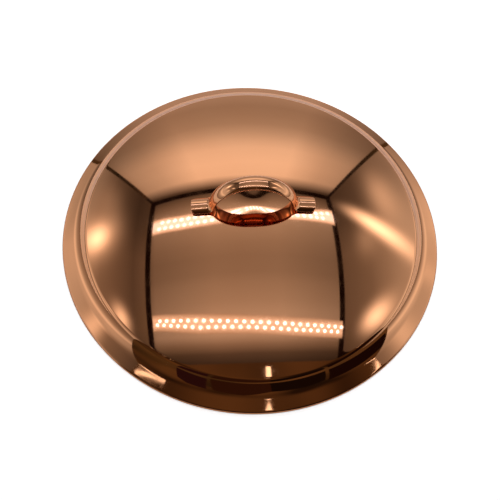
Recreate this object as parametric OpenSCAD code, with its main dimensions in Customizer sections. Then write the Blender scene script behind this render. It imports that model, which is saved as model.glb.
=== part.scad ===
// Shallow domed lid for a round soup kettle. A spun sheet-metal shell has a
// stepped flange and a curled rim, and an arched strap handle stands across its
// crown, held from inside by studs, washers and cap nuts.
// +Z is up, the curled rim rests on z = 0 and the handle runs along X.

/* [Shell] */
// Diameter over the curled rim
rim_d = 360; // [350:1:430]
// Thickness of the sheet
sheet = 1; // [0.6:0.1:1.6]
// Height of the crown above the edge of the dome
dome_rise = 28.3; // [15:0.1:45]
// Width of the flange, from the rim to the corner of the step
flange_w = 17.3; // [14:0.1:24]
// Width of the step, from its corner to the edge of the dome
step_w = 8.5; // [5:0.1:12]
// Slope of the step's wall from the horizontal
wall_angle = 50; // [40:1:68]
// Slope of the flange from the horizontal
flange_angle = 24; // [8:1:32]
// Outside radius of the shoulder between dome and step
shoulder_r = 8; // [2:0.5:14]
// Length of the straight part of the step's wall, between shoulder and cove
wall_l = 0.7; // [0.2:0.1:3]
// Outside radius of the curl along the rim
curl_r = 2.5; // [2:0.1:4]
// Width of the returned edge that lies flat under the rim
return_w = 4; // [2:0.5:8]

/* [Handle] */
// Inside radius of the bow
bow_r = 36; // [24:0.5:50]
// Angle that the bow turns through on each side of its top
bow_angle = 78; // [60:1:85]
// Radius of the bend between the bow and a foot
bend_r = 3; // [2:0.5:6]
// Thickness of the strap along its middle
strap_t = 5; // [4:0.5:7]
// Thickness of the strap along its long edges
edge_t = 1.2; // [0.6:0.1:2.5]
// Size of the small bevel along the strap's lower edges
edge_cut = 0.4; // [0.1:0.1:0.5]
// Width of the strap at the top of the bow
strap_w = 14.4; // [12:0.2:16]
// Width of the strap at its feet
foot_w = 16.4; // [16.2:0.2:22]
// Distance from a stud to the bend of the strap
foot_start = 7; // [4:0.1:14]
// Distance from a stud to the outer end of its foot
foot_end = 7.2; // [6:0.1:14]
// Radius of the outer corners of a foot
corner_r = 4.5; // [2:0.5:7]
// Thickness of the sealing pad under a foot
pad_t = 0.8; // [0.5:0.1:2]
// Distance that the edge of a pad stays inside the foot
pad_inset = 1; // [0.2:0.1:2]

/* [Fastening] */
// Diameter of the studs
stud_d = 5; // [4:0.5:6]
// Depth of the tapped hole in a foot
tap_depth = 3.4; // [2:0.1:3.8]
// Clearance on diameter of a thread in its tapped hole
thread_play = 0.1; // [0.05:0.01:0.3]
// Clearance on diameter of the stud holes in shell, pad and washers
hole_play = 0.4; // [0.2:0.1:1]
// Outside diameter of the plain washers
washer_d = 10; // [9:0.5:14]
// Thickness of the plain washers
washer_t = 1; // [0.5:0.1:2]
// Outside diameter of the spring washers
spring_d = 9; // [8:0.2:12]
// Thickness of the spring washers
spring_t = 1.2; // [0.6:0.1:2]
// Width of the slit in a spring washer
slit_w = 0.8; // [0.4:0.1:1.5]
// Width of the cap nuts across their flats
nut_w = 8; // [7.5:0.5:12]
// Height of the hexagon of a cap nut
nut_h = 4.5; // [3:0.5:8]
// Radius of the round cap that closes the nut
cap_r = 3.8; // [3.2:0.1:3.9]
// Depth of the nut's bore below its hexagon
cap_bore = 1.4; // [0.5:0.1:2]
// Gap between the end of a stud and the bottom of its hole
end_gap = 0.3; // [0.1:0.1:1]
// Gap that lets a flat washer seat under the curved shell
seat_gap = 0.05; // [0.03:0.01:0.2]

/* [Hidden] */

copper = "#c8845c";
steel = "#c9ccd0";
silicone = "#d9d6cf";

// Profile of the shell, as radius and height of its outer face
rim_r = rim_d / 2;
step_r = rim_r - flange_w;
edge_r = step_r - step_w;
dome_r = (pow(edge_r, 2) + pow(dome_rise, 2)) / (2 * dome_rise);
dome_angle = asin(edge_r / dome_r);
curl_c = [rim_r - curl_r, curl_r];
flange_end = curl_c + curl_r * tilt(flange_angle);
step_foot = [step_r, flange_end[1] + (flange_end[0] - step_r) * tan(flange_angle)];
shoulder_end_r = edge_r + shoulder_r * (sin(wall_angle) - sin(dome_angle));
shoulder_end_z = step_foot[1] + (step_r - shoulder_end_r) * tan(wall_angle);
cove_cut = (step_r - shoulder_end_r) / cos(wall_angle) - wall_l;
cove_r = cove_cut / tan((wall_angle - flange_angle) / 2);
wall_end = step_foot - cove_cut * fall(wall_angle);
cove_c = wall_end + cove_r * tilt(wall_angle);
shoulder_c = [shoulder_end_r, shoulder_end_z] - shoulder_r * tilt(wall_angle);
dome_c = shoulder_c - (dome_r - shoulder_r) * tilt(dome_angle);
dome_steps = 40;
bend_steps = 8;
curl_steps = 24;
round_fn = 180;
small_fn = 48;

// Handle, in the plane y = 0. A foot lies flat on the dome at its stud, at the
// angle where the bow, the bend and the foot's inner part reach out to that stud
outer_bend = bend_r + strap_t;
foot_reach = dome_r + pad_t + outer_bend;
bow_reach = (bow_r + outer_bend) * sin(bow_angle);
foot_angle = asin(bow_reach / norm([foot_reach, foot_start])) + atan(foot_start / foot_reach);
foot_seat = dome_c + (dome_r + pad_t) * tilt(foot_angle);
bend_c = foot_seat - foot_start * fall(foot_angle) + outer_bend * tilt(foot_angle);
bow_z = bend_c[1] - (outer_bend + bow_r) * cos(bow_angle);
crown_drop = strap_t - edge_t;
crown_r = (pow(foot_w / 2, 2) + pow(crown_drop, 2)) / (2 * crown_drop);
bow_steps = 18;
crown_steps = 6;

// Stack under the shell, measured down from the dome's outer face at a stud
washer_z = -sheet - seat_gap - washer_t;
spring_z = washer_z - spring_t;
nut_z = spring_z - nut_h;
nut_bore_h = nut_h + cap_bore;
cut = 1;

// Unit vector at an angle from the vertical, and the one that falls at that slope
function tilt(a) = [sin(a), cos(a)];
function fall(a) = [cos(a), -sin(a)];
function arc(c, r, from, to, steps) =
    [for (i = [0:steps]) c + r * tilt(from + (to - from) * i / steps)];
function backwards(points) = [for (i = [len(points) - 1:-1:0]) points[i]];

// The face of the sheet at a depth under its outer face, from the axis to the edge
function sheet_face(depth) = concat(
    arc(dome_c, dome_r - depth, 0, dome_angle, dome_steps),
    arc(shoulder_c, shoulder_r - depth, dome_angle, wall_angle, bend_steps),
    arc(cove_c, -cove_r - depth, wall_angle, flange_angle, bend_steps),
    arc(curl_c, curl_r - depth, flange_angle, 180, curl_steps),
    [[curl_c[0] - return_w, depth]]
);

// Half the width of the strap over the bow, and near the rounded end of a foot
function bow_half_w(a) = strap_w / 2 + (foot_w - strap_w) / 2 * (1 - cos(a / bow_angle * 90));
function foot_half_w(s) = foot_w / 2 - corner_r + sqrt(pow(corner_r, 2) - pow(s, 2));

// Places along one half of the strap: x and z of its flat side, tilt and half width
half_run = concat(
    [for (i = [0:bow_steps]) let (a = bow_angle * i / bow_steps)
        concat([0, bow_z] + bow_r * tilt(a), [a, bow_half_w(a)])],
    [for (i = [1:bend_steps]) let (a = bow_angle + (foot_angle - bow_angle) * i / bend_steps)
        concat(bend_c - outer_bend * tilt(a), [a, foot_w / 2])],
    [for (i = [0:bend_steps]) let (s = corner_r * sin(90 * i / bend_steps))
        concat(foot_seat + (foot_end - corner_r + s) * fall(foot_angle), [foot_angle, foot_half_w(s)])]
);

// Height of the strap's crowned side at a distance from its middle line
function crown_h(y) = strap_t - crown_r + sqrt(pow(crown_r, 2) - pow(y, 2));
function strap_ring(s) = let (
        w = s[3],
        section = concat(
            [[-w + edge_cut, 0], [w - edge_cut, 0], [w, edge_cut]],
            [for (i = [-crown_steps:crown_steps]) let (y = -w * sin(90 * i / crown_steps)) [y, crown_h(y)]],
            [[-w, edge_cut]]
        )
    )
    [for (q = section) [s[0] + q[1] * sin(s[2]), q[0], s[1] + q[1] * cos(s[2])]];

// Everything below the outer face of the dome
module under_dome() {
    dome_line = arc(dome_c, dome_r, 0, dome_angle, dome_steps);
    rotate_extrude($fn = round_fn)
        polygon(concat([[0, 0]], dome_line, [[edge_r, 0]]));
}

// Places children at a stud, with z = 0 on the dome and +Z along its normal
module at_stud(side) {
    place = dome_c + dome_r * tilt(foot_angle);
    translate([side * place[0], 0, place[1]])
        rotate([0, side * foot_angle, 0])
            children();
}

module ring(outer_d, inner_d, h) {
    difference() {
        cylinder(d = outer_d, h = h, $fn = small_fn);
        translate([0, 0, -cut])
            cylinder(d = inner_d, h = h + 2 * cut, $fn = small_fn);
    }
}

module rounded_plate(size, r) {
    square([size[0] - 2 * r, size[1]], center = true);
    square([size[0], size[1] - 2 * r], center = true);
    for (x = [-1, 1], y = [-1, 1])
        translate([x * (size[0] / 2 - r), y * (size[1] / 2 - r)])
            circle(r = r, $fn = small_fn);
}

// The strap as one swept body: its section is flat below and crowned above
module strap() {
    other_half = [for (i = [1:len(half_run) - 1]) let (s = half_run[i]) [-s[0], s[1], -s[2], s[3]]];
    run = concat(backwards(other_half), half_run);
    rings = [for (s = run) strap_ring(s)];
    n = len(rings[0]);
    last = len(rings) - 1;
    sides = [for (i = [0:last - 1], j = [0:n - 1])
        [i * n + j, (i + 1) * n + j, (i + 1) * n + (j + 1) % n, i * n + (j + 1) % n]];
    ends = [[for (j = [0:n - 1]) j], [for (j = [n - 1:-1:0]) last * n + j]];
    polyhedron([for (r = rings, point = r) point], concat(sides, ends), convexity = 6);
}

module lid_shell() {
    color(copper)
        difference() {
            rotate_extrude($fn = round_fn)
                polygon(concat(sheet_face(0), backwards(sheet_face(sheet))));
            for (side = [-1, 1])
                at_stud(side)
                    translate([0, 0, -sheet - cut])
                        cylinder(d = stud_d + hole_play, h = sheet + 2 * cut, $fn = small_fn);
        }
}

module handle() {
    color(copper)
        difference() {
            strap();
            for (side = [-1, 1])
                at_stud(side)
                    translate([0, 0, pad_t - cut])
                        cylinder(d = stud_d + thread_play, h = tap_depth + cut, $fn = small_fn);
        }
}

module pad(side) {
    pad_l = foot_start + foot_end - 2 * pad_inset;
    color(silicone)
        difference() {
            at_stud(side)
                translate([side * (foot_end - foot_start) / 2, 0, -cut])
                    linear_extrude(height = pad_t + cut)
                        rounded_plate([pad_l, foot_w - 2 * pad_inset], corner_r - pad_inset);
            under_dome();
            at_stud(side)
                translate([0, 0, -2 * cut])
                    cylinder(d = stud_d + hole_play, h = pad_t + 4 * cut, $fn = small_fn);
        }
}

module stud(side) {
    low = spring_z - nut_bore_h + end_gap;
    color(steel)
        at_stud(side)
            translate([0, 0, low])
                cylinder(d = stud_d, h = pad_t + tap_depth - end_gap - low, $fn = small_fn);
}

module washer(side) {
    color(steel)
        at_stud(side)
            translate([0, 0, washer_z])
                ring(washer_d, stud_d + hole_play, washer_t);
}

module spring_washer(side) {
    color(steel)
        at_stud(side)
            translate([0, 0, spring_z])
                difference() {
                    ring(spring_d, stud_d + hole_play, spring_t);
                    translate([0, -slit_w / 2, -cut])
                        cube([spring_d, slit_w, spring_t + 2 * cut]);
                }
}

module cap_nut(side) {
    color(steel)
        at_stud(side)
            translate([0, 0, nut_z])
                difference() {
                    union() {
                        cylinder(d = nut_w / cos(30), h = nut_h, $fn = 6);
                        sphere(r = cap_r, $fn = small_fn);
                    }
                    translate([0, 0, nut_h - nut_bore_h])
                        cylinder(d = stud_d + thread_play, h = nut_bore_h + cut, $fn = small_fn);
                }
}

lid_shell();
handle();
pad(-1);  // left_pad
pad(1);  // right_pad
stud(-1);  // left_stud
stud(1);  // right_stud
washer(-1);  // left_washer
washer(1);  // right_washer
spring_washer(-1);  // left_spring_washer
spring_washer(1);  // right_spring_washer
cap_nut(-1);  // left_cap_nut
cap_nut(1);  // right_cap_nut
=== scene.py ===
import bpy
import numpy as np
from mathutils import Matrix, Vector


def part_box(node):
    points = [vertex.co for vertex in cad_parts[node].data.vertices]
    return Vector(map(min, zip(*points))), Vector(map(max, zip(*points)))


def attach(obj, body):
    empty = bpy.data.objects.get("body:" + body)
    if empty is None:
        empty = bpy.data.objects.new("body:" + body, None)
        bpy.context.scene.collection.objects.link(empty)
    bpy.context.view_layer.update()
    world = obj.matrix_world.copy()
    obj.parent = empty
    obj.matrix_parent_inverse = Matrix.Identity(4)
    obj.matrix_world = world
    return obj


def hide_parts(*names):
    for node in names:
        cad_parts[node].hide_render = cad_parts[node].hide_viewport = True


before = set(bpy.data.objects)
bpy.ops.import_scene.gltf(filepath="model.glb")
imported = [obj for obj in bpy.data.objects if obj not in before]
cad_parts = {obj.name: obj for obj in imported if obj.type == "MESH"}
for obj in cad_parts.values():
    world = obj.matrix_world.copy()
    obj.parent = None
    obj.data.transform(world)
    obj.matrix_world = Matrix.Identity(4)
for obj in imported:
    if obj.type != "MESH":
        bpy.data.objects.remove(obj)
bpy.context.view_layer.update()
mm = 0.001
print("frame loaded")


# Small helpers

def linearColour(hexColour):
    # sRGB hex to linear RGBA
    srgb = np.array([int(hexColour[i:i + 2], 16) for i in (1, 3, 5)]) / 255
    linear = np.where(srgb <= 0.04045, srgb / 12.92, ((srgb + 0.055) / 1.055) ** 2.4)
    return (*linear.tolist(), 1.0)


def addNode(owner, kind, settings=None, inputs=None):
    # settings are the node's own properties, inputs are values or other nodes' sockets;
    # the owner is a material or a world
    node = owner.node_tree.nodes.new("ShaderNode" + kind)
    for key, value in (settings or {}).items():
        setattr(node, key, value)
    for key, value in (inputs or {}).items():
        if isinstance(value, bpy.types.NodeSocket):
            owner.node_tree.links.new(value, node.inputs[key])
        else:
            node.inputs[key].default_value = value
    return node


def emptyMaterial(name):
    material = bpy.data.materials.new(name)
    material.use_nodes = True
    material.node_tree.nodes.clear()
    return material


def tilt(degrees):
    # unit vector (radius, height) at an angle from the vertical
    a = np.radians(degrees)
    return np.stack([np.sin(a), np.cos(a)], -1)


def fall(degrees):
    # unit vector that falls outwards at that slope
    a = np.radians(degrees)
    return np.stack([np.cos(a), -np.sin(a)], -1)


def arc(centre, radius, start, end, steps):
    # points centre + radius * tilt(angle), with the angle going evenly from start to end
    return np.asarray(centre) + radius * tilt(np.linspace(start, end, steps + 1))


def line(start, end, steps):
    # the inner points of a straight run, without its two ends
    t = np.linspace(0, 1, steps + 1)[1:-1, None]
    return (1 - t) * np.asarray(start) + t * np.asarray(end)


def gridObject(name, points, wrapRows=False, poles=(None, None), caps=False, rowSlots=None):
    # points[row, column] is a surface of two parameters; columns always close into a ring.
    # poles are single points that close the first and last row, caps are flat ends,
    # and rowSlots gives each row its material slot.
    rows, cols = points.shape[:2]
    i = np.arange(rows if wrapRows else rows - 1)[:, None]
    j = np.arange(cols)[None, :]
    nextRow = (i + 1) % rows
    nextCol = (j + 1) % cols
    quads = np.stack([i * cols + j, nextRow * cols + j, nextRow * cols + nextCol, i * cols + nextCol], -1)
    faces = quads.reshape(-1, 4).tolist()
    slots = np.repeat(np.asarray(rowSlots)[i[:, 0]], cols).tolist() if rowSlots is not None else []
    vertices = points.reshape(-1, 3)
    ring = np.arange(cols)
    nextRing = (ring + 1) % cols
    if poles[0] is not None:
        pole = np.full(cols, len(vertices))
        faces += np.stack([pole, ring, nextRing], -1).tolist()
        slots += [slots[0]] * cols if slots else []
        vertices = np.vstack([vertices, poles[0]])
    if poles[1] is not None:
        pole = np.full(cols, len(vertices))
        last = (rows - 1) * cols
        faces += np.stack([pole, last + nextRing, last + ring], -1).tolist()
        slots += [slots[cols * (rows - 1) - 1]] * cols if slots else []
        vertices = np.vstack([vertices, poles[1]])
    if caps:
        faces += [ring.tolist(), ((rows - 1) * cols + ring[::-1]).tolist()]
    mesh = bpy.data.meshes.new(name)
    mesh.from_pydata((vertices * mm).tolist(), [], faces)
    if slots:
        mesh.polygons.foreach_set("material_index", np.array(slots, np.int32))
    mesh.shade_smooth()
    mesh.update()
    piece = bpy.data.objects.new(name, mesh)
    bpy.context.scene.collection.objects.link(piece)
    return piece


def turned(profile, steps):
    # surface of revolution: (r cos a, r sin a, z) for each profile point (r, z)
    a = np.linspace(0, 2 * np.pi, steps, endpoint=False)
    r = profile[:, 0, None]
    z = np.broadcast_to(profile[:, 1, None], (len(profile), steps))
    return np.stack([r * np.cos(a), r * np.sin(a), z], -1)


# Camera

viewpoint = {
    "place": (-38.3, -340.8, 583.2),  # millimetres
    "target": (-2.3, -21.6, 2.5),
    "roll": 4.42,  # degrees
    "lens": 50.12,  # millimetres, like the sensor's width
    "sensor": 36.0,
}


def addCamera():
    place = Vector(viewpoint["place"]) * mm
    forward = (Vector(viewpoint["target"]) * mm - place).normalized()
    right = forward.cross(Vector((0, 0, 1))).normalized()
    up = right.cross(forward)
    c, s = np.cos(np.radians(viewpoint["roll"])), np.sin(np.radians(viewpoint["roll"]))
    rolledRight = right * c + up * s
    rolledUp = up * c - right * s
    turn = Matrix((rolledRight, rolledUp, -forward)).transposed()
    data = bpy.data.cameras.new("camera")
    data.lens = viewpoint["lens"]
    data.sensor_width = viewpoint["sensor"]
    camera = bpy.data.objects.new("camera", data)
    camera.matrix_world = Matrix.Translation(place) @ turn.to_4x4()
    bpy.context.scene.collection.objects.link(camera)
    bpy.context.scene.camera = camera


addCamera()
print("camera placed")


# Shell: sheet metal spun to a shallow dome, step, flange and curled rim (millimetres, degrees)

shell = {
    "rimR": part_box("lid_shell")[1].x / mm,
    "sheet": 1.0,
    "flangeWidth": 17.3,
    "stepWidth": 8.5,
    "domeRise": 28.3,
    "wallAngle": 50.0,
    "flangeAngle": 24.0,
    "shoulderR": 8.0,
    "wallLength": 0.7,
    "curlR": 2.5,
    "returnWidth": 4.0,
    "edgeRound": 0.3,
    "swellHigh": 0.5,  # slight swelling left at the crown, where the sheet was held for spinning
    "swellWide": 12.5,
    "aroundSteps": 312,
    "steps": {"dome": 120, "shoulder": 18, "wall": 4, "cove": 24, "flange": 10, "curl": 30, "edge": 4},
    "innerFineness": 0.45,  # steps of the inner face for one of the outer face
}

stepR = shell["rimR"] - shell["flangeWidth"]
domeEdgeR = stepR - shell["stepWidth"]
domeR = (domeEdgeR ** 2 + shell["domeRise"] ** 2) / (2 * shell["domeRise"])
domeAngle = np.degrees(np.arcsin(domeEdgeR / domeR))
curlCentre = np.array([shell["rimR"] - shell["curlR"], shell["curlR"]])
flangeEnd = curlCentre + shell["curlR"] * tilt(shell["flangeAngle"])
flangeSlope = np.tan(np.radians(shell["flangeAngle"]))
stepFoot = np.array([stepR, flangeEnd[1] + (flangeEnd[0] - stepR) * flangeSlope])
shoulderEndR = domeEdgeR + shell["shoulderR"] * (tilt(shell["wallAngle"]) - tilt(domeAngle))[0]
shoulderEndZ = stepFoot[1] + (stepR - shoulderEndR) * np.tan(np.radians(shell["wallAngle"]))
coveCut = (stepR - shoulderEndR) / np.cos(np.radians(shell["wallAngle"])) - shell["wallLength"]
coveR = coveCut / np.tan(np.radians((shell["wallAngle"] - shell["flangeAngle"]) / 2))
wallEnd = stepFoot - coveCut * fall(shell["wallAngle"])
coveCentre = wallEnd + coveR * tilt(shell["wallAngle"])
shoulderCentre = np.array([shoulderEndR, shoulderEndZ]) - shell["shoulderR"] * tilt(shell["wallAngle"])
domeCentre = shoulderCentre - (domeR - shell["shoulderR"]) * tilt(domeAngle)


def sheetFace(depth, fine):
    # one face of the sheet, from the axis to the rim: dome, shoulder, wall, cove, flange and curl;
    # fine scales the number of points, and the crown swells by high * exp(-(radius / wide)^2)
    count = {part: max(2, round(steps * fine)) for part, steps in shell["steps"].items()}
    dome = arc(domeCentre, domeR - depth, 0, domeAngle, count["dome"])[1:]
    dome[:, 1] += shell["swellHigh"] * np.exp(-(dome[:, 0] / shell["swellWide"]) ** 2)
    shoulder = arc(
        shoulderCentre, shell["shoulderR"] - depth, domeAngle, shell["wallAngle"], count["shoulder"])[1:]
    cove = arc(coveCentre, -coveR - depth, shell["wallAngle"], shell["flangeAngle"], count["cove"])
    curl = arc(curlCentre, shell["curlR"] - depth, shell["flangeAngle"], 180, count["curl"])
    return np.vstack([
        dome, shoulder, line(shoulder[-1], cove[0], count["wall"]), cove,
        line(cove[-1], curl[0], count["flange"]), curl,
    ])


def buildShell():
    # profile: outer face, then the rounded raw edge under the rim, then the inner face back to the axis
    outer = sheetFace(0, 1)
    inner = sheetFace(shell["sheet"], shell["innerFineness"])[::-1]
    e = shell["edgeRound"]
    steps = shell["steps"]["edge"]
    edgeR = curlCentre[0] - shell["returnWidth"]
    lower = arc([edgeR + e, e], e, 180, 270, steps)
    upper = arc([edgeR + e, shell["sheet"] - e], e, 270, 360, steps)
    under = line(outer[-1], lower[0], steps)
    over = line(upper[-1], inner[0], steps - 1)
    profile = np.vstack([outer, under, lower, upper, over, inner])
    rowSlots = np.zeros(len(profile), int)
    rowSlots[len(profile) - len(inner):] = 1
    crownZ = domeCentre[1] + domeR + shell["swellHigh"]
    piece = gridObject(
        "lidShell", turned(profile, shell["aroundSteps"]),
        poles=((0, 0, crownZ), (0, 0, crownZ - shell["sheet"])), rowSlots=rowSlots)
    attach(piece, "root")
    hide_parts("lid_shell")
    return piece


lidShell = buildShell()
print("shell built")


# Handle: one strap with a flat underside and a crowned top, bent to a bow with two feet

strap = {
    "bowR": 36.0,
    "bowAngle": 78.0,
    "bendR": 3.0,
    "thick": 5.0,
    "edgeThick": 1.2,
    "bowWidth": 14.4,
    "footWidth": 16.4,
    "footStart": 7.0,
    "footEnd": 7.2,
    "cornerR": 4.5,
    "padThick": 0.8,
    "belly": 0.95,  # how much the strap's underside rises from its middle to its edges on the bow
    "upperRound": 0.7,
    "lowerRound": 0.45,
    "endRound": 0.5,
    "leastStep": 0.01,  # rows of the foot's corner closer than this to its rounded end are left out
    "sectionSteps": {"floor": 10, "corner": 6, "side": 8, "crown": 16},
    "pathSteps": {"bow": 60, "bend": 40, "foot": 7, "corner": 16, "end": 5},
}

outerBend = strap["bendR"] + strap["thick"]
footReach = domeR + strap["padThick"] + outerBend
bowReach = (strap["bowR"] + outerBend) * tilt(strap["bowAngle"])[0]
footAngle = np.degrees(
    np.arcsin(bowReach / np.hypot(footReach, strap["footStart"]))
    + np.arctan(strap["footStart"] / footReach))
footSeat = domeCentre + (domeR + strap["padThick"]) * tilt(footAngle)
bendCentre = footSeat - strap["footStart"] * fall(footAngle) + outerBend * tilt(footAngle)
bowZ = bendCentre[1] - (outerBend + strap["bowR"]) * tilt(strap["bowAngle"])[1]
crownDrop = strap["thick"] - strap["edgeThick"]
crownR = ((strap["footWidth"] / 2) ** 2 + crownDrop ** 2) / (2 * crownDrop)


def strapSection(halfWidth, inset, belly):
    # section for arrays of half widths: flat bottom, rounded lower corner, upright side, rounded upper
    # corner and an arc of radius crownR; inset draws it in all round, and the underside rises by
    # belly * (y / w)^2
    steps = strap["sectionSteps"]
    w = (halfWidth - inset)[:, None]
    low = strap["lowerRound"]
    up = strap["upperRound"]
    crownZ = strap["thick"] - crownR
    upZ = crownZ + np.sqrt((crownR - up) ** 2 - (w - up) ** 2)
    phi = np.arctan2(w - up, upZ - crownZ)
    quarter = np.linspace(0, np.pi / 2, steps["corner"] + 1)[None, :]
    floorY = (w - low) * np.linspace(0, 1, steps["floor"] + 1)[None, :-1]
    turn = np.pi / 2 + (phi - np.pi / 2) * np.linspace(0, 1, steps["side"] + 1)[None, :]
    crownTurn = phi * np.linspace(1, 0, steps["crown"] + 1)[None, 1:]
    y = np.hstack([
        floorY, w - low + low * np.sin(quarter), w - up + up * np.sin(turn), crownR * np.sin(crownTurn)])
    z = np.hstack([
        0 * floorY, low - low * np.cos(quarter) + 0 * w, upZ + up * np.cos(turn),
        crownZ + crownR * np.cos(crownTurn)])
    z = z + belly[:, None] * (y / w) ** 2 * np.clip(1 - z / strap["edgeThick"], 0, 1)
    z = inset[:, None] + z * (1 - 2 * inset[:, None] / strap["thick"])
    return np.hstack([y, -y[:, -2:0:-1]]), np.hstack([z, z[:, -2:0:-1]])


def footOutline():
    # how far the foot's rows lie along it, how wide they are and how much its rounded end draws them in
    steps = strap["pathSteps"]
    cornerStart = strap["footEnd"] - strap["cornerR"]
    straight = np.linspace(-strap["footStart"], cornerStart, steps["foot"] + 1)[1:-1]
    corner = cornerStart + strap["cornerR"] * np.sin(np.radians(np.linspace(0, 90, steps["corner"] + 1)))
    rounding = np.radians(np.linspace(0, 90, steps["end"] + 1))[1:]
    end = strap["footEnd"] - strap["endRound"] * (1 - np.sin(rounding))
    along = np.concatenate([straight, corner[corner < end[0] - strap["leastStep"]], end])
    reach = np.clip(along - cornerStart, 0, strap["cornerR"])
    flat = strap["footWidth"] / 2 - strap["cornerR"]
    half = flat + np.sqrt(strap["cornerR"] ** 2 - reach ** 2)
    half[-1] = max(half[-1], flat + strap["endRound"])
    inset = np.zeros(len(along))
    inset[-len(rounding):] = strap["endRound"] * (1 - np.cos(rounding))
    return along, half, inset


def mirrored(rows, sign):
    # the rows of the right half, led by the same rows of the left half in reverse
    return np.concatenate([rows[:0:-1] * sign, rows])


def buildHandle():
    # path: bow, bend and foot of one half, as place, tilt, half width, inset and belly;
    # the other half mirrors it
    steps = strap["pathSteps"]
    along, footHalf, footInset = footOutline()
    bowTurn = np.linspace(0, strap["bowAngle"], steps["bow"] + 1)
    bendTurn = np.linspace(strap["bowAngle"], footAngle, steps["bend"] + 1)[1:]
    flare = (strap["footWidth"] - strap["bowWidth"]) / 2
    bowHalf = strap["bowWidth"] / 2 + flare * (1 - np.cos(np.radians(bowTurn / strap["bowAngle"] * 90)))
    flatten = 0.5 - 0.5 * np.cos(np.linspace(0, np.pi, len(bendTurn)))
    place = np.vstack([
        np.array([0, bowZ]) + strap["bowR"] * tilt(bowTurn), bendCentre - outerBend * tilt(bendTurn),
        footSeat + along[:, None] * fall(footAngle)])
    turn = np.concatenate([bowTurn, bendTurn, np.full(len(along), footAngle)])
    half = np.concatenate([bowHalf, np.full(len(bendTurn), strap["footWidth"] / 2), footHalf])
    inset = np.concatenate([np.zeros(len(turn) - len(along)), footInset])
    belly = strap["belly"] * np.concatenate([np.ones(len(bowTurn)), 1 - flatten, np.zeros(len(along))])
    place = mirrored(place, np.array([-1, 1]))
    turn = mirrored(turn, -1)
    y, z = strapSection(mirrored(half, 1), mirrored(inset, 1), mirrored(belly, 1))
    up = tilt(turn)
    points = np.stack([place[:, :1] + z * up[:, :1], y, place[:, 1:] + z * up[:, 1:]], -1)[:, ::-1]
    piece = gridObject("strapHandle", points, caps=True)
    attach(piece, "root")
    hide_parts("handle")
    return piece


strapHandle = buildHandle()
print("handle built")


# Fastening under the shell: a pad, two washers and a cap nut on each stud (millimetres)

fastening = {
    "studD": 5.0,
    "holePlay": 0.4,
    "threadPlay": 0.1,
    "padInset": 1.0,
    "padEdge": 0.25,
    "padGap": 0.01,
    "padPower": 5,
    "seatGap": 0.05,
    "washerD": 10.0,
    "washerThick": 1.0,
    "springD": 9.0,
    "springThick": 1.2,
    "slit": 0.8,
    "washerEdge": 0.15,
    "nutWide": 8.0,
    "nutHigh": 4.5,
    "capR": 3.8,
    "capBore": 1.4,
    "faceCut": 0.1,  # how much smaller than the hexagon's width the round faces of the nut are
    "chamfer": 30.0,  # degrees
    "boreChamfer": 0.35,
    "capEnd": 177.0,  # degrees round the cap where its last ring lies, before its pole
    "aroundSteps": 96,
    "slitSteps": 80,
    "capSteps": 20,
    "roundSteps": 4,
    "sharpAngle": 28.0,
}

holeR = (fastening["studD"] + fastening["holePlay"]) / 2
washerTop = -shell["sheet"] - fastening["seatGap"]
springTop = washerTop - fastening["washerThick"]
nutTop = springTop - fastening["springThick"]
nutLow = nutTop - fastening["nutHigh"]


def atStud(points, side):
    # local (x, y, z), with z along the dome's normal from its outer face, turned and moved to a stud
    a = side * np.radians(footAngle)
    place = domeCentre + domeR * tilt(footAngle)
    x, y, z = np.moveaxis(points, -1, 0)
    return np.stack([
        side * place[0] + x * np.cos(a) + z * np.sin(a), y, place[1] - x * np.sin(a) + z * np.cos(a)], -1)


def fastener(kind, node, slotName, points, **shape):
    side = -1 if node.startswith("left") else 1
    piece = gridObject(kind + node.split("_")[0].capitalize(), atStud(points(side), side), **shape)
    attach(piece, "root")
    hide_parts(node)
    return piece


def ringSection(outerR, top, thick):
    # rectangle (radius, height) with four rounded corners, clockwise from its upper outer corner
    e = fastening["washerEdge"]
    inner, outer, low, high = holeR + e, outerR - e, top - thick + e, top - e
    corners = [(outer, high, 0), (outer, low, 90), (inner, low, 180), (inner, high, 270)]
    steps = fastening["roundSteps"]
    return np.vstack([arc((r, z), e, start, start + 90, steps) for r, z, start in corners])


def padPoints(side):
    # outline rho(angle) = (|cos / a|^p + |sin / b|^p)^(-1/p), a rounded plate; its underside follows
    # the dome, z = -(R - sqrt(R^2 - rho^2)), and its edge bulges a little
    a = (strap["footStart"] + strap["footEnd"]) / 2 - fastening["padInset"]
    b = strap["footWidth"] / 2 - fastening["padInset"]
    turn = np.linspace(0, 2 * np.pi, fastening["aroundSteps"], endpoint=False)
    power = fastening["padPower"]
    outline = (np.abs(np.cos(turn) / a) ** power + np.abs(np.sin(turn) / b) ** power) ** (-1 / power)
    e, top, low = fastening["padEdge"], strap["padThick"], fastening["padGap"]
    # rows from the hole over the top and the edge to the underside: height, inset and share of the dome's
    # fall that they follow
    height = np.array([top, top, top - 0.3 * e, top - e, e, 0.3 * e, low, low])
    drawIn = np.array([1.0, 0.3, 0.08, 0, 0, 0.08, 0.3, 1.0]) * e
    followed = np.array([0, 0, 0, 0.3, 0.7, 1, 1, 1])
    reach = outline[None, :] - drawIn[:, None]
    reach[[0, -1]] = holeR
    x = reach * np.cos(turn) + side * (strap["footEnd"] - strap["footStart"]) / 2
    x[[0, -1]] = holeR * np.cos(turn)
    y = reach * np.sin(turn)
    onDome = -(domeR - np.sqrt(domeR ** 2 - x ** 2 - y ** 2))
    return np.stack([x, y, height[:, None] + onDome * followed[:, None]], -1)


def washerPoints(side):
    section = ringSection(fastening["washerD"] / 2, washerTop, fastening["washerThick"])
    return turned(section, fastening["aroundSteps"])


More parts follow.
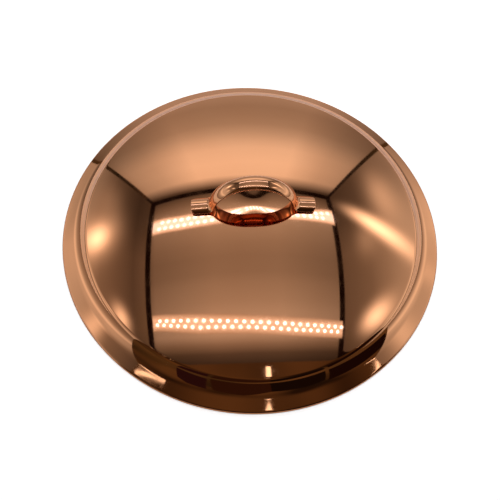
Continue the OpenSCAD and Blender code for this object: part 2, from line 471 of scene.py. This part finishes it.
def springPoints(side):
    # the ring's section carried round from one side of the slit to the other, both sides of it parallel
    section = ringSection(fastening["springD"] / 2, springTop, fastening["springThick"])[::-1]
    slitTurn = np.arcsin(fastening["slit"] / 2 / section[:, 0])[None, :]
    turn = slitTurn + np.linspace(0, 1, fastening["slitSteps"] + 1)[:, None] * (2 * np.pi - 2 * slitTurn)
    r, z = section.T
    return np.stack([r * np.cos(turn), r * np.sin(turn), z + 0 * turn], -1)


def nutPoints(side):
    # profile from the bottom of the bore, up the bore, over the chamfered hexagon and round the cap;
    # hexagon radius = half width / cos(angle mod 60 - 30), cut by a cone at both ends
    turn = np.linspace(0, 2 * np.pi, fastening["aroundSteps"], endpoint=False)
    hexagon = fastening["nutWide"] / 2 / np.cos(np.mod(turn, np.pi / 3) - np.pi / 6)
    even = np.ones_like(turn)
    faceR = (fastening["nutWide"] / 2 - fastening["faceCut"]) * even
    drop = (hexagon - faceR) * np.tan(np.radians(fastening["chamfer"]))
    bore = (fastening["studD"] + fastening["threadPlay"]) / 2 * even
    cut = fastening["boreChamfer"]
    rows = [(bore, (nutLow - fastening["capBore"]) * even), (bore, (nutTop - cut) * even),
            (bore + cut, nutTop * even), (faceR, nutTop * even), (hexagon, nutTop - drop),
            (hexagon, nutLow + drop), (faceR, nutLow * even)]
    cap = arc((0, nutLow), fastening["capR"], 90, fastening["capEnd"], fastening["capSteps"])
    r = np.vstack([np.array([row[0] for row in rows]), cap[:, :1] * even])
    z = np.vstack([np.array([row[1] for row in rows]), cap[:, 1:] * even])
    return np.stack([r * np.cos(turn), r * np.sin(turn), z], -1)


def buildFastening():
    pieces = {"silicone": [], "washers": [], "springs": [], "nuts": []}
    for name in ("left", "right"):
        side = -1 if name == "left" else 1
        poles = [tuple(atStud(np.array([0, 0, nutLow - depth]), side))
                 for depth in (fastening["capBore"], fastening["capR"])]
        pieces["silicone"].append(
            fastener("sealingPad", name + "_pad", "silicone", padPoints, wrapRows=True))
        pieces["washers"].append(
            fastener("plainWasher", name + "_washer", "steel", washerPoints, wrapRows=True))
        pieces["springs"].append(
            fastener("springWasher", name + "_spring_washer", "steel", springPoints, caps=True))
        pieces["nuts"].append(
            fastener("capNut", name + "_cap_nut", "steel", nutPoints, poles=poles))
    for piece in pieces["nuts"] + pieces["springs"]:
        piece.data.set_sharp_from_angle(angle=np.radians(fastening["sharpAngle"]))
    return pieces


fasteners = buildFastening()
print("fastening built")


# Metals and silicone

polish = {
    "colour": "#FBB889",
    "deepColour": "#F2A878",
    # painted shade on the strap's underside: its darker colour, how much of it, and where it starts
    "paintedUnderShadeColour": "#80422C",
    "paintedUnderShade": 0.95,  # share of that painted shade on the strap's underside, darkest where it faces straight down
    "paintedUnderShadeFrom": (-0.1, -0.6),  # upward part of the surface's direction where it starts and is complete
    "roughness": 0.045,
    "haze": 0.35,  # share of the roughness that changes from place to place
    "cloudSize": 90.0,  # millimetres from one slightly redder place to the next
    "hazeSize": 11.0,
    "waveLength": 34.0,  # millimetres from one slight hollow of the sheet to the next
    "waveDepth": 0.02,  # millimetres
    "lineSpacing": 0.9,  # millimetres between buffing lines, drawn coarser than real ones so that they show
    "lineDepth": 0.00025,
    "strapStretch": (0.04, 1.0, 0.04),  # draws the lines of the strap out along its length
}


def noiseOf(material, size, detail):
    # three-dimensional noise fixed to the piece, with the size of its largest grains in millimetres
    place = addNode(material, "TexCoord").outputs["Object"]
    return addNode(material, "TexNoise", {}, {"Vector": place, "Scale": 1000 / size, "Detail": detail})


def roundLines(material, spacing):
    # value that changes with the distance from the lid's axis and with height,
    # and hardly at all along a circle
    coordinates = addNode(material, "TexCoord")
    axes = addNode(material, "SeparateXYZ", {}, {"Vector": coordinates.outputs["Object"]})
    flat = addNode(material, "CombineXYZ", {}, {"X": axes.outputs["X"], "Y": axes.outputs["Y"]})
    radius = addNode(material, "VectorMath", {"operation": "LENGTH"}, {0: flat.outputs[0]})
    place = addNode(material, "CombineXYZ", {}, {"X": radius.outputs["Value"], "Y": axes.outputs["Z"]})
    return addNode(material, "TexNoise", {"noise_dimensions": "2D"}, {
        "Vector": place.outputs[0], "Scale": 1000 / spacing, "Detail": 2.0, "Roughness": 0.6})


def mixOf(material, share, colourA, colourB):
    # colourA where the share is 0 and colourB where it is 1
    mix = addNode(material, "Mix", {"data_type": "RGBA"}, {"Factor": share, "A": colourA, "B": colourB})
    return mix.outputs[2]


def rangeOf(material, value, low, high, toLow, toHigh):
    # toLow where the value is at or past low, toHigh where it is at or past high, evenly between
    mapped = addNode(material, "MapRange", {}, {
        "Value": value, "From Min": low, "From Max": high, "To Min": toLow, "To Max": toHigh})
    return mapped.outputs["Result"]


def reliefOf(material, height, depth, normal=None):
    # bumps of that depth in millimetres
    inputs = {"Height": height, "Distance": depth * mm, "Strength": 1.0}
    if normal is not None:
        inputs["Normal"] = normal
    return addNode(material, "Bump", {}, inputs).outputs["Normal"]


def surfaceOf(material, colour, roughness, normal, **more):
    # makes the material a solid surface
    surface = addNode(material, "BsdfPrincipled", {}, {
        "Base Color": colour, "Roughness": roughness, "Normal": normal, **more})
    addNode(material, "OutputMaterial", {}, {"Surface": surface.outputs["BSDF"]})
    return material


def polishedCopper(name, isStrap):
    # Copper, spun or bent, then buffed on a wheel to a mirror: a warm sharp reflection that wavers a little
    # where the sheet is not quite even, with a thin haze and very fine lines left by the wheel
    material = emptyMaterial(name)
    cloud = noiseOf(material, polish["cloudSize"], 4.0)
    colour = mixOf(
        material, cloud.outputs["Fac"], linearColour(polish["deepColour"]), linearColour(polish["colour"]))
    fine = noiseOf(material, polish["hazeSize"], 5.0)
    haze = rangeOf(
        material, fine.outputs["Fac"], 0.3, 0.7,
        polish["roughness"] * (1 - polish["haze"]), polish["roughness"] * (1 + polish["haze"]))
    wave = noiseOf(material, polish["waveLength"], 1.0)
    waves = reliefOf(material, wave.outputs["Fac"], polish["waveDepth"])
    if isStrap:
        coordinates = addNode(material, "TexCoord")
        across = addNode(material, "Mapping", {}, {
            "Vector": coordinates.outputs["Object"], "Scale": polish["strapStretch"]})
        lines = addNode(material, "TexNoise", {}, {
            "Vector": across.outputs[0], "Scale": 1000 / polish["lineSpacing"], "Detail": 2.0})
        axes = addNode(material, "SeparateXYZ", {}, {"Vector": coordinates.outputs["Normal"]})
        # painted shade: where the strap faces down, its colour is mixed towards a darker one that stands in
        # for shade
        under = rangeOf(material, axes.outputs["Z"], *polish["paintedUnderShadeFrom"], 0.0, polish["paintedUnderShade"])
        colour = mixOf(material, under, colour, linearColour(polish["paintedUnderShadeColour"]))
    else:
        lines = roundLines(material, polish["lineSpacing"])
    buffed = reliefOf(material, lines.outputs["Fac"], polish["lineDepth"], waves)
    return surfaceOf(material, colour, haze, buffed, Metallic=1.0)


satin = {
    "colour": "#E3A57C",
    "deepColour": "#C98A63",
    "roughness": 0.3,
    "cloudSize": 60.0,  # millimetres from one redder place to the next
    "lineSpacing": 1.6,  # millimetres between tool lines
    "lineDepth": 0.012,
    "lineShade": (0.45, -0.2),  # how much the tool lines change the colour, and the level that evens it out
}


def spunCopper():
    # Copper as it comes off the spinning lathe, on the inner face: satin, with fine round tool lines
    material = emptyMaterial("spunCopper")
    lines = roundLines(material, satin["lineSpacing"])
    cloud = noiseOf(material, satin["cloudSize"], 5.0)
    gain, level = satin["lineShade"]
    shade = addNode(material, "Math", {"operation": "MULTIPLY_ADD"}, {
        0: lines.outputs["Fac"], 1: gain, 2: level})
    share = addNode(material, "Math", {"operation": "ADD", "use_clamp": True}, {
        0: cloud.outputs["Fac"], 1: shade.outputs[0]})
    colour = mixOf(
        material, share.outputs[0], linearColour(satin["deepColour"]), linearColour(satin["colour"]))
    rough = rangeOf(
        material, lines.outputs["Fac"], 0.25, 0.75, satin["roughness"] * 0.8, satin["roughness"] * 1.25)
    grooves = reliefOf(material, lines.outputs["Fac"], satin["lineDepth"])
    return surfaceOf(material, colour, rough, grooves, Metallic=1.0)


# roughness, and the size and depth of the grain in millimetres
steels = {
    "pressedSteel": {"colour": "#C9CCD0", "roughness": 0.3, "grain": 0.7, "depth": 0.006},
    "springSteel": {"colour": "#B4B6B9", "roughness": 0.38, "grain": 0.5, "depth": 0.008},
    "threadedSteel": {"colour": "#C2C5C9", "roughness": 0.28, "grain": 0.4, "depth": 0.01},
}
grainShade = 0.78  # how dark the colour gets in the grain


def stainlessSteel(name):
    # Stainless steel: pressed and tumbled, which leaves a soft sheen broken by a fine grain
    steel = steels[name]
    material = emptyMaterial(name)
    speck = noiseOf(material, steel["grain"], 4.0)
    dark = tuple(grainShade * c for c in linearColour(steel["colour"])[:3]) + (1.0,)
    colour = mixOf(material, speck.outputs["Fac"], dark, linearColour(steel["colour"]))
    rough = rangeOf(
        material, speck.outputs["Fac"], 0.3, 0.7, steel["roughness"] * 0.75, steel["roughness"] * 1.3)
    pits = reliefOf(material, speck.outputs["Fac"], steel["depth"])
    return surfaceOf(material, colour, rough, pits, Metallic=1.0)


rubber = {
    "colour": "#E2DFD8",
    "deepColour": "#CFCBC2",
    "roughness": 0.5,
    "poreSize": 0.7,  # millimetres
    "poreDepth": 0.02,
    "softness": 0.15,  # share of the light that goes in
    "softDepth": 1.0,  # millimetres that it goes in
}


def mouldedSilicone():
    # Silicone rubber, moulded: milky and soft, with a matt skin that lets a little light in
    material = emptyMaterial("mouldedSilicone")
    skin = noiseOf(material, rubber["poreSize"], 3.0)
    colour = mixOf(
        material, skin.outputs["Fac"], linearColour(rubber["deepColour"]), linearColour(rubber["colour"]))
    pores = reliefOf(material, skin.outputs["Fac"], rubber["poreDepth"])
    soft = {"Subsurface Weight": rubber["softness"], "Subsurface Scale": rubber["softDepth"] * mm}
    return surfaceOf(material, colour, rubber["roughness"], pores, **soft)


def finishPieces():
    lidShell.data.materials.append(polishedCopper("polishedCopperShell", False))
    lidShell.data.materials.append(spunCopper())
    strapHandle.data.materials.append(polishedCopper("polishedCopperStrap", True))
    silicone = mouldedSilicone()
    pressed, spring, threaded = (stainlessSteel(name) for name in steels)
    for piece in fasteners["silicone"]:
        piece.data.materials.append(silicone)
    for piece in fasteners["washers"] + fasteners["nuts"]:
        piece.data.materials.append(pressed)
    for piece in fasteners["springs"]:
        piece.data.materials.append(spring)
    for name in ("left_stud", "right_stud"):
        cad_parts[name].material_slots[0].material = threaded


finishPieces()
print("finishes made")


# Stage: a white floor inside a light tent of separate panels, with two long lamps and an open dark front

tent = {
    "left": -502.0,  # millimetres
    "right": 480.0,
    "back": 569.0,
    "ceilingFront": -378.0,
    "leftFront": -320.0,
    "rightFront": -325.0,
    "rightFoot": -225.0,
    "top": 722.0,
    "sideSeam": 27.0,
    "backSeam": 30.0,
    "wallSeam": 12.0,
    "cornerSeam": 8.0,
    "frameReach": 80.0,
    "frameLift": 12.0,
    "frameColour": "#140A07",
    "floorReach": 4000.0,
    "floorColour": "#F4F4F4",
    "floorToCamera": 0.8,  # glow that the camera sees
    "floorToMirror": 0.26,  # glow that a mirror sees away from the rim, and beside it
    "floorBesideRim": 0.02,
    "rimShade": 26.0,  # millimetres outside the rim where the rim's shade ends, and where it starts
    "rimMargin": 1.0,
}

# brightness along one direction of a panel: (place in millimetres, level)
ceilingAlongY = [(-378, 0.05), (-330, 0.1), (-285, 0.27), (-240, 0.5), (-190, 0.52), (-135, 0.47),
                 (-86, 0.41), (0, 0.35), (50, 0.3), (130, 0.29), (200, 0.33), (300, 0.42), (350, 0.5),
                 (410, 0.45), (470, 0.28), (560, 0.08)]
ceilingAcrossX = [(0, 1.0), (150, 1.0), (250, 0.88), (350, 0.76), (450, 0.66), (490, 0.45)]
backAlongZ = [(0, 0.46), (60, 0.42), (130, 0.34), (182, 0.37), (233, 0.42), (285, 0.56), (336, 0.74),
              (388, 0.89), (439, 0.94), (490, 0.98), (600, 0.95), (650, 0.5), (700, 0.12)]
backAcrossX = [(0, 1.0), (200, 1.0), (250, 0.87), (350, 0.64), (450, 0.5), (500, 0.4)]
sideAlongY = [(0, 1.0), (170, 1.0), (260, 0.8), (340, 0.62), (450, 0.5), (560, 0.45)]
leftAlongZ = [(0, 0.2), (25, 0.26), (75, 0.37), (108, 0.58), (135, 0.9), (155, 0.86), (180, 0.6),
              (220, 0.58), (270, 0.5), (320, 0.34), (380, 0.22), (480, 0.16), (600, 0.1), (700, 0.14)]
rightAlongZ = [(0, 0.2), (25, 0.3), (60, 0.55), (92, 0.85), (112, 0.9), (140, 0.68), (200, 0.54),
               (290, 0.42), (380, 0.3), (480, 0.2), (600, 0.16), (700, 0.14)]
# how much warmer the light of a panel gets where its level falls from warmBelow to 0
warmth = 0.16
warmBelow = 0.5
# soft spots on the side walls: (y, z), half size along and across, turn in degrees, level
leftSpots = [((-103, 505), (64, 38), -40, 1.15), ((-100, 322), (46, 46), 0, 0.62),
             ((213, 345), (62, 42), 48, 1.6), ((225, 365), (120, 76), 48, 0.55),
             ((390, 365), (110, 90), 0, 0.16)]
rightSpots = [((-120, 464), (98, 40), -57, 1.45), ((-150, 296), (66, 48), -45, 0.38),
              ((240, 405), (195, 31), 48, 2.1), ((350, 312), (130, 72), 10, 0.42),
              ((205, 485), (75, 75), 0, 0.2)]
spotThick = 50.0  # millimetres; any size will do, because a wall is flat
spotFall = 0.3679  # 1 / e
# two staggered rows of light dots in each lamp: points (x, y) along each row
lampRows = {
    "front": [[(-428, -150), (-200, -168), (13, -183), (229, -196), (461, -205)],
              [(-444, -168), (-223, -198), (-6, -206), (213, -221), (440, -228)]],
    "back": [[(-415, 387), (-302, 375), (-178, 374), (248, 377), (437, 423)],
             [(-431, 348), (-307, 338), (-187, 337), (317, 376), (402, 382)]],
}
lamp = {
    "dots": 25,
    "dotSides": 12,
    "dotDrop": 6.0,  # millimetres below the ceiling
    "dotR": {"front": 8.0, "back": 10.5},
    "dotLevel": {"front": 8.0, "back": 6.0},
    "bandHalf": 470.0,
    "bandSteps": 32,
    "bandDrop": 4.0,
    "bandSpill": 32.0,
    "bandCore": 0.42,  # share of the band's width that is evenly bright
    "coreLevel": {"front": 1.2, "back": 2.4},
    "edgeLevel": 0.48,
    "warmColour": "#FFF6F0",
    "coolColour": "#D2E0FF",
    "coolFrom": (0.5, 2.5),  # levels where the cool colour starts and is complete
}

# lamps and low cupboards in the dim room in front, upright at roomY: outlines (x, z),
# and each cupboard's colour
roomY = -1200
roomLevel = 2.2
roomLamps = {
    "softBox": [(256, 2450), (334, 2450), (376, 2940), (298, 2940)],
    "lowLamp": [(166, 1616), (250, 1616), (226, 1674), (208, 1674)],
    "roomLamp": [(-2176, 2838), (-1306, 2256), (-1301, 2280), (-2350, 2998)],
    "deskLamp": [(2080, 2209), (3115, 3136), (2960, 3050), (2400, 2560)],
}
roomCupboards = {
    "cupboardLeft": ("#261419", [(-892, 190), (-474, 250), (-500, 1063), (-764, 1100), (-892, 894)]),
    "cupboardMiddle": ("#2B1A12", [(-441, 200), (159, 188), (194, 780), (-89, 1120), (-416, 998)]),
    "cupboardRight": ("#150E0A", [(159, 188), (807, 200), (852, 916), (611, 930), (194, 780)]),
    "cupboardFar": ("#180C0A", [(860, 200), (3045, 497), (3275, 2080), (1795, 1524), (925, 1066)]),
}


def rampOf(material, value, stops):
    # colour for each value, by stops of place and level; dim light is a little warmer,
    # because copper lights it back
    low, high = stops[0][0], stops[-1][0]
    scaled = rangeOf(material, value, low * mm, high * mm, 0.0, 1.0)
    ramp = addNode(material, "ValToRGB", {}, {"Fac": scaled})
    points = ramp.color_ramp.elements
    while len(points) < len(stops):
        points.new(0.5)
    for point, (place, level) in zip(points, stops):
        point.position = (place - low) / (high - low)
        warm = 1 - warmth * max(0.0, 1 - level / warmBelow)
        point.color = (level, level * warm, level * warm ** 2, 1)
    return ramp.outputs["Color"]


def glowOutput(material, colour, strength):
    # makes the material a plain light
    glow = addNode(material, "Emission", {}, {"Color": colour, "Strength": strength})
    addNode(material, "OutputMaterial", {}, {"Surface": glow.outputs["Emission"]})
    return material


def panelMaterial(name, acrossAxis, acrossStops, alongAxis, alongStops, wallX=0, spots=()):
    # brightness is one ramp times another, plus soft spots strength * exp(-distance^2) on a side wall
    material = emptyMaterial(name)
    coordinates = addNode(material, "TexCoord")
    axes = addNode(material, "SeparateXYZ", {}, {"Vector": coordinates.outputs["Object"]})
    across = addNode(material, "Math", {"operation": "ABSOLUTE"}, {0: axes.outputs[acrossAxis]})
    first = rampOf(material, across.outputs[0], acrossStops)
    second = rampOf(material, axes.outputs[alongAxis], alongStops)
    level = addNode(material, "VectorMath", {"operation": "MULTIPLY"}, {0: first, 1: second}).outputs[0]
    for (y, z), (along, wide), turn, strength in spots:
        place = addNode(material, "Mapping", {"vector_type": "TEXTURE"}, {
            "Vector": coordinates.outputs["Object"], "Location": Vector((wallX, y, z)) * mm,
            "Rotation": (np.radians(turn), 0, 0), "Scale": Vector((spotThick, along, wide)) * mm})
        distance = addNode(material, "VectorMath", {"operation": "DOT_PRODUCT"}, {
            0: place.outputs["Vector"], 1: place.outputs["Vector"]})
        falling = addNode(material, "Math", {"operation": "POWER"}, {
            0: spotFall, 1: distance.outputs["Value"]})
        scaled = addNode(material, "Math", {"operation": "MULTIPLY"}, {0: falling.outputs[0], 1: strength})
        total = addNode(material, "VectorMath", {"operation": "ADD"}, {0: scaled.outputs[0], 1: level})
        level = total.outputs[0]
    return glowOutput(material, level, 1.0)


def plainGlow(name, hexColour, strength):
    return glowOutput(emptyMaterial(name), linearColour(hexColour), strength)


def floorMaterial():
    # white board: the camera sees it near white, and its diffuse part keeps the shadow;
    # a mirror sees it as grey, and darker close to the rim, which shades it
    material = emptyMaterial("whiteBoard")
    path = addNode(material, "LightPath")
    board = addNode(material, "BsdfDiffuse", {}, {"Color": linearColour(tent["floorColour"])})
    bent = addNode(material, "Math", {"operation": "MAXIMUM"}, {
        0: path.outputs["Is Glossy Ray"], 1: path.outputs["Is Transmission Ray"]})
    coordinates = addNode(material, "TexCoord")
    radius = addNode(material, "VectorMath", {"operation": "LENGTH"}, {0: coordinates.outputs["Object"]})
    shaded = rangeOf(
        material, radius.outputs["Value"], (shell["rimR"] + tent["rimMargin"]) * mm,
        (shell["rimR"] + tent["rimShade"]) * mm, tent["floorBesideRim"], tent["floorToMirror"])
    toMirror = addNode(material, "Math", {"operation": "MULTIPLY"}, {0: bent.outputs[0], 1: shaded})
    strength = addNode(material, "Math", {"operation": "MULTIPLY_ADD"}, {
        0: path.outputs["Is Camera Ray"], 1: tent["floorToCamera"], 2: toMirror.outputs[0]})
    glow = addNode(material, "Emission", {}, {"Strength": strength.outputs[0]})
    both = addNode(material, "AddShader", {}, {0: board.outputs[0], 1: glow.outputs[0]})
    addNode(material, "OutputMaterial", {}, {"Surface": both.outputs[0]})
    return material


def lampMesh(place, rows, top):
    # a soft band whose level attribute rises to the middle, and under it round dots
    # spaced evenly along both rows
    rows = [np.array(row, float) for row in rows]
    x = np.linspace(-lamp["bandHalf"], lamp["bandHalf"], lamp["bandSteps"] + 1)
    upper, lower = (np.interp(x, *row.T) for row in rows)
    middle, half = (upper + lower) / 2, np.abs(upper - lower) / 2
    offsets = np.array([-1, -lamp["bandCore"], lamp["bandCore"], 1])[:, None] * (half + lamp["bandSpill"])
    band = np.stack([x + 0 * offsets, middle + offsets, np.full((4, len(x)), top - lamp["bandDrop"])], -1)
    core, edge = lamp["coreLevel"][place], lamp["edgeLevel"]
    bandLevels = np.repeat([edge, core, core, edge], len(x))
    i, j = np.meshgrid(np.arange(3), np.arange(len(x) - 1), indexing="ij")
    first = i * len(x) + j
    quads = np.stack([first, first + 1, first + len(x) + 1, first + len(x)], -1)
    turn = np.linspace(0, 2 * np.pi, lamp["dotSides"], endpoint=False)
    radius = lamp["dotR"][place]
    dots = []
    for row in rows:
        dotX = np.linspace(row[0, 0], row[-1, 0], lamp["dots"])
        dotY = np.interp(dotX, *row.T)
        ring = np.stack([
            dotX[:, None] + radius * np.cos(turn), dotY[:, None] + radius * np.sin(turn),
            np.full((lamp["dots"], lamp["dotSides"]), top - lamp["dotDrop"])], -1)
        dots.append(ring.reshape(-1, 3))
    dots = np.vstack(dots)
    discs = np.arange(len(dots)).reshape(-1, lamp["dotSides"]) + band[..., 0].size
    vertices = np.vstack([band.reshape(-1, 3), dots])
    mesh = bpy.data.meshes.new(place + "Lamp")
    mesh.from_pydata((vertices * mm).tolist(), [], quads.reshape(-1, 4).tolist() + discs.tolist())
    levels = np.concatenate([bandLevels, np.full(len(dots), lamp["dotLevel"][place])]).astype(np.float32)
    mesh.attributes.new("level", "FLOAT", "POINT").data.foreach_set("value", levels)
    return mesh


def lampMaterial():
    # light from a lamp's level attribute: warm where it is dim, cooler in the dots
    material = emptyMaterial("lampStrip")
    level = addNode(material, "Attribute", {"attribute_name": "level"}).outputs["Fac"]
    bright = rangeOf(material, level, *lamp["coolFrom"], 0.0, 1.0)
    colour = mixOf(material, bright, linearColour(lamp["warmColour"]), linearColour(lamp["coolColour"]))
    return glowOutput(material, colour, level)


def addPanel(name, mesh):
    panel = bpy.data.objects.new(name, mesh)
    bpy.context.scene.collection.objects.link(panel)
    return panel


def stagePlane(name, corners, material):
    mesh = bpy.data.meshes.new(name)
    mesh.from_pydata((np.array(corners, float) * mm).tolist(), [], [list(range(len(corners)))])
    mesh.materials.append(material)
    return addPanel(name, mesh)


def levelCorners(left, right, front, back, z):
    return [(left, front, z), (right, front, z), (right, back, z), (left, back, z)]


def sideCorners(x, footFront, topFront, back, top):
    return [(x, footFront, 0), (x, back, 0), (x, back, top), (x, topFront, top)]


def buildStage():
    left, right, back, top, front = (tent[k] for k in ("left", "right", "back", "top", "ceilingFront"))
    side, wall, far, reach = (tent[k] for k in ("sideSeam", "wallSeam", "floorReach", "frameReach"))
    frameTop = top + tent["frameLift"]
    wallTop = top - tent["cornerSeam"]
    sideBack = back - tent["cornerSeam"]
    stagePlane("floor", levelCorners(-far, far, -far, far, 0), floorMaterial())
    panels = [
        stagePlane(
            "ceiling", levelCorners(left + side, right - side, front, back - tent["backSeam"], top),
            panelMaterial("ceilingPanel", "X", ceilingAcrossX, "Y", ceilingAlongY)),
        stagePlane(
            "backWall", [(left + wall, back, 0), (right - wall, back, 0),
                         (right - wall, back, wallTop), (left + wall, back, wallTop)],
            panelMaterial("backPanel", "X", backAcrossX, "Z", backAlongZ)),
        stagePlane(
            "leftWall", sideCorners(left, tent["leftFront"], tent["leftFront"], sideBack, wallTop),
            panelMaterial("leftPanel", "Y", sideAlongY, "Z", leftAlongZ, left, leftSpots)),
        stagePlane(
            "rightWall", sideCorners(right, tent["rightFoot"], tent["rightFront"], sideBack, wallTop),
            panelMaterial("rightPanel", "Y", sideAlongY, "Z", rightAlongZ, right, rightSpots)),
        stagePlane(
            "tentFrame", levelCorners(left - reach, right + reach, front, back + reach, frameTop),
            plainGlow("darkFrame", tent["frameColour"], 1.0)),
    ]
    roomLight = plainGlow("roomLight", "#FFFFFF", roomLevel)
    for name, outline in roomLamps.items():
        panels.append(stagePlane(name, [(x, roomY, z) for x, z in outline], roomLight))
    for name, (hexColour, outline) in roomCupboards.items():
        cupboard = plainGlow(name, hexColour, 1.0)
        panels.append(stagePlane(name, [(x, roomY, z) for x, z in outline], cupboard))
    lamps = lampMaterial()
    for place, rows in lampRows.items():
        mesh = lampMesh(place, rows, top)
        mesh.materials.append(lamps)
        panels.append(addPanel(place + "Lamp", mesh))
    for panel in panels:
        panel.visible_camera = False


# colour of the dim room by the sine of the height above the horizon, and the patches in it
room = {
    "stops": [(0.05, "#4A3F2C"), (0.3, "#2E2819"), (0.55, "#1C1813"), (0.75, "#241911"), (0.95, "#453523")],
    "patchColour": "#70583A",
    "patchScale": 2.6,
    "patchDetail": 0.6,
    "patchFrom": (0.36, 0.72),  # noise values where a patch starts and is complete
    "patchShare": 0.52,
}


def buildWorld():
    # white to the camera and through glass; to mirrors and matt surfaces a dim warm room, a little uneven
    world = bpy.data.worlds.new("room")
    world.use_nodes = True
    world.node_tree.nodes.clear()
    path = addNode(world, "LightPath")
    white = addNode(world, "Background", {}, {"Color": (1, 1, 1, 1), "Strength": 1.0})
    direction = addNode(world, "TexCoord").outputs["Generated"]
    axes = addNode(world, "SeparateXYZ", {}, {"Vector": direction})
    ramp = addNode(world, "ValToRGB", {}, {"Fac": axes.outputs["Z"]})
    stops = ramp.color_ramp.elements
    for place, hexColour in room["stops"]:
        stop = stops.new(place)
        stop.color = linearColour(hexColour)
    stops.remove(stops[0])
    stops.remove(stops[-1])
    patch = addNode(world, "TexNoise", {}, {
        "Vector": direction, "Scale": room["patchScale"], "Detail": room["patchDetail"]})
    share = rangeOf(world, patch.outputs["Fac"], *room["patchFrom"], 0.0, room["patchShare"])
    colour = mixOf(world, share, ramp.outputs["Color"], linearColour(room["patchColour"]))
    dim = addNode(world, "Background", {}, {"Color": colour, "Strength": 1.0})
    seen = addNode(world, "Math", {"operation": "MAXIMUM"}, {
        0: path.outputs["Is Camera Ray"], 1: path.outputs["Is Transmission Ray"]})
    mix = addNode(world, "MixShader", {}, {0: seen.outputs[0], 1: dim.outputs[0], 2: white.outputs[0]})
    addNode(world, "OutputWorld", {}, {"Surface": mix.outputs[0]})
    bpy.context.scene.world = world


buildStage()
buildWorld()
bpy.context.scene.view_settings.view_transform = "Standard"
print("stage built")
